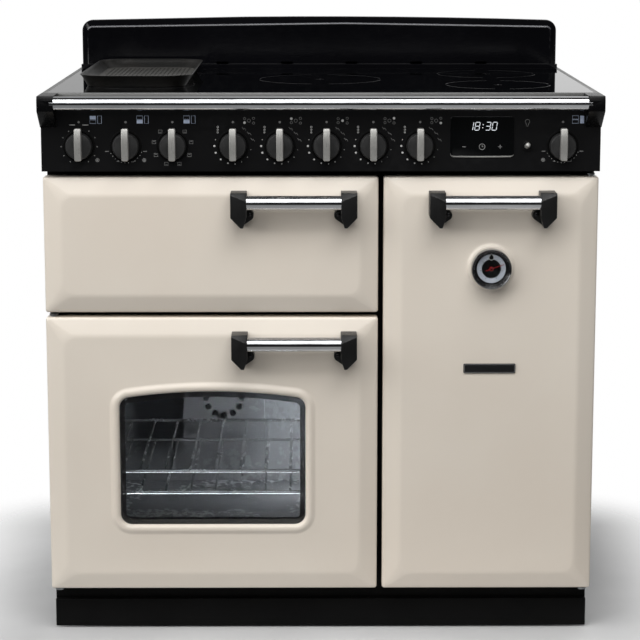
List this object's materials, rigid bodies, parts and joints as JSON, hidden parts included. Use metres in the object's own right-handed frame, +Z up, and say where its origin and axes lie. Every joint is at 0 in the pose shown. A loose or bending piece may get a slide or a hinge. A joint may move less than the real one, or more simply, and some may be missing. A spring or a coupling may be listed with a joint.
{
  "type": "range cooker",
  "caption": "Cream and black electric range cooker with a drop-down grill door, windowed side oven, tall oven, bar knobs, front hand rail, low splashback and loose griddle.",
  "frame": {"origin": "on the floor, under the middle of the overall width and depth", "axes": "+Z up, -Y towards the user at the doors, +X to the user's right"},
  "size_m": [0.9, 0.648, 1.0009],
  "materials": {
    "cream_enamel": "gloss vitreous enamel",
    "black_enamel": "gloss vitreous enamel",
    "case_black": "satin powder coat",
    "zinc_steel": "bright zinc coat",
    "roller_plastic": "matt",
    "terminal_plastic": "matt",
    "panel_black": "satin enamel",
    "clock_glass": "gloss",
    "knob_black": "satin body with a bright metal grip",
    "chrome": "polished",
    "trim_steel": "brushed",
    "hob_glass": "polished black glass ceramic",
    "coil_aluminium": "plain",
    "cast_black": "gloss enamel on a casting",
    "griddle_iron": "dark matt coating",
    "oven_enamel": "speckled dark vitreous enamel",
    "element_steel": "oxidised sheath",
    "rack_chrome": "polished wire",
    "lamp_glass": "frosted",
    "seal_rubber": "matt",
    "window_glass": "tinted",
    "gauge_black": "gloss",
    "gauge_lens": "clear",
    "needle_red": "satin",
    "plate_black": "gloss"
  },
  "bodies": {
    "cabinet": {"plinth": "black_enamel", "front_frame": "black_enamel", "splashback": "black_enamel", "side_panels": "case_black", "back_panel": "zinc_steel", "base_tray": "zinc_steel", "front_feet": "zinc_steel", "fan_motors": "zinc_steel", "door_hinges": "zinc_steel", "terminal_box": "terminal_plastic", "rotary_switches": "terminal_plastic", "control_panel": "panel_black", "clock_module": "clock_glass", "hand_rail": "chrome", "hob_trim": "trim_steel", "hob_glass": "hob_glass", "induction_module": "coil_aluminium", "rail_end_caps": "cast_black", "left_oven_liner": "oven_enamel", "right_oven_liner": "oven_enamel", "grill_liner": "oven_enamel", "fan_covers": "oven_enamel", "grill_pan": "oven_enamel", "grill_element": "element_steel", "shelf_supports": "rack_chrome", "oven_racks": "rack_chrome", "oven_lamps": "lamp_glass", "door_seals": "seal_rubber"},
    "grill_door": {"grill_door_panel": "cream_enamel", "grill_door_liner": "oven_enamel", "grill_handle_bar": "chrome", "grill_handle_brackets": "cast_black"},
    "left_oven_door": {"left_door_panel": "cream_enamel", "left_door_liner": "oven_enamel", "left_door_glass": "window_glass", "left_handle_bar": "chrome", "left_handle_brackets": "cast_black"},
    "right_oven_door": {"right_door_panel": "cream_enamel", "right_door_liner": "oven_enamel", "right_handle_bar": "chrome", "right_handle_brackets": "cast_black", "gauge_case": "gauge_black", "gauge_lens": "gauge_lens", "door_plate": "plate_black"},
    "needle": {"gauge_needle": "needle_red"},
    "toggle": {"light_toggle": "chrome"},
    "left_impeller": {"left_fan": "zinc_steel"},
    "right_impeller": {"right_fan": "zinc_steel"},
    "left_roller": {"rear_roller_left": "roller_plastic"},
    "right_roller": {"rear_roller_right": "roller_plastic"},
    "griddle": {"griddle": "griddle_iron"},
    "knob_grill": {"knob_grill": "knob_black"},
    "knob_left_oven": {"knob_left_oven": "knob_black"},
    "knob_left_mode": {"knob_left_mode": "knob_black"},
    "knob_left_front": {"knob_left_front": "knob_black"},
    "knob_left_rear": {"knob_left_rear": "knob_black"},
    "knob_centre": {"knob_centre": "knob_black"},
    "knob_right_rear": {"knob_right_rear": "knob_black"},
    "knob_right_front": {"knob_right_front": "knob_black"},
    "knob_right_oven": {"knob_right_oven": "knob_black"}
  },
  "joints": [
    {"name": "grill_door_hinge", "type": "hinge", "parent": "cabinet", "child": "grill_door", "pos_m": [-0.178, -0.262, 0.575], "axis": [1, 0, 0], "range_deg": [0, 90], "stiffness_Nm_per_rad": 1, "springref_deg": -85.94},
    {"name": "left_oven_door_hinge", "type": "hinge", "parent": "cabinet", "child": "left_oven_door", "pos_m": [-0.437, -0.262, 0.31], "axis": [0, 0, -1], "range_deg": [0, 100]},
    {"name": "right_oven_door_hinge", "type": "hinge", "parent": "cabinet", "child": "right_oven_door", "pos_m": [0.437, -0.262, 0.4255], "axis": [0, 0, 1], "range_deg": [0, 100]},
    {"name": "knob_grill_turn", "type": "hinge", "parent": "cabinet", "child": "knob_grill", "pos_m": [-0.388, -0.284, 0.822], "axis": [0, 1, 0], "range_deg": [0, 270]},
    {"name": "knob_left_oven_turn", "type": "hinge", "parent": "cabinet", "child": "knob_left_oven", "pos_m": [-0.313, -0.284, 0.822], "axis": [0, 1, 0], "range_deg": [0, 290]},
    {"name": "knob_left_mode_turn", "type": "hinge", "parent": "cabinet", "child": "knob_left_mode", "pos_m": [-0.238, -0.284, 0.822], "axis": [0, 1, 0], "range_deg": [0, 270]},
    {"name": "knob_left_front_turn", "type": "hinge", "parent": "cabinet", "child": "knob_left_front", "pos_m": [-0.141, -0.284, 0.822], "axis": [0, 1, 0], "range_deg": [0, 280]},
    {"name": "knob_left_rear_turn", "type": "hinge", "parent": "cabinet", "child": "knob_left_rear", "pos_m": [-0.066, -0.284, 0.822], "axis": [0, 1, 0], "range_deg": [0, 280]},
    {"name": "knob_centre_turn", "type": "hinge", "parent": "cabinet", "child": "knob_centre", "pos_m": [0.009, -0.284, 0.822], "axis": [0, 1, 0], "range_deg": [0, 280]},
    {"name": "knob_right_rear_turn", "type": "hinge", "parent": "cabinet", "child": "knob_right_rear", "pos_m": [0.084, -0.284, 0.822], "axis": [0, 1, 0], "range_deg": [0, 280]},
    {"name": "knob_right_front_turn", "type": "hinge", "parent": "cabinet", "child": "knob_right_front", "pos_m": [0.159, -0.284, 0.822], "axis": [0, 1, 0], "range_deg": [0, 280]},
    {"name": "knob_right_oven_turn", "type": "hinge", "parent": "cabinet", "child": "knob_right_oven", "pos_m": [0.388, -0.284, 0.822], "axis": [0, 1, 0], "range_deg": [0, 290]},
    {"name": "light_toggle_flip", "type": "hinge", "parent": "cabinet", "child": "toggle", "pos_m": [0.331, -0.285, 0.822], "axis": [1, 0, 0], "range_deg": [0, 24]},
    {"name": "gauge_needle_turn", "type": "hinge", "parent": "right_oven_door", "child": "needle", "pos_m": [0.27525, -0.284, 0.624], "axis": [0, 1, 0], "range_deg": [-205, 65], "stiffness_Nm_per_rad": 0.002},
    {"name": "left_fan_spin", "type": "hinge", "parent": "cabinet", "child": "left_impeller", "pos_m": [-0.178, 0.189, 0.305], "axis": [0, 1, 0], "continuous": true},
    {"name": "right_fan_spin", "type": "hinge", "parent": "cabinet", "child": "right_impeller", "pos_m": [0.27525, 0.189, 0.42], "axis": [0, 1, 0], "continuous": true},
    {"name": "left_roller_spin", "type": "hinge", "parent": "cabinet", "child": "left_roller", "pos_m": [-0.38, 0.255, 0.02], "axis": [1, 0, 0], "continuous": true},
    {"name": "right_roller_spin", "type": "hinge", "parent": "cabinet", "child": "right_roller", "pos_m": [0.38, 0.255, 0.02], "axis": [1, 0, 0], "continuous": true},
    {"name": "griddle_lift", "type": "slide", "parent": "cabinet", "child": "griddle", "axis": [0, 0, 1], "range_m": [0, 0.15]}
  ]
}
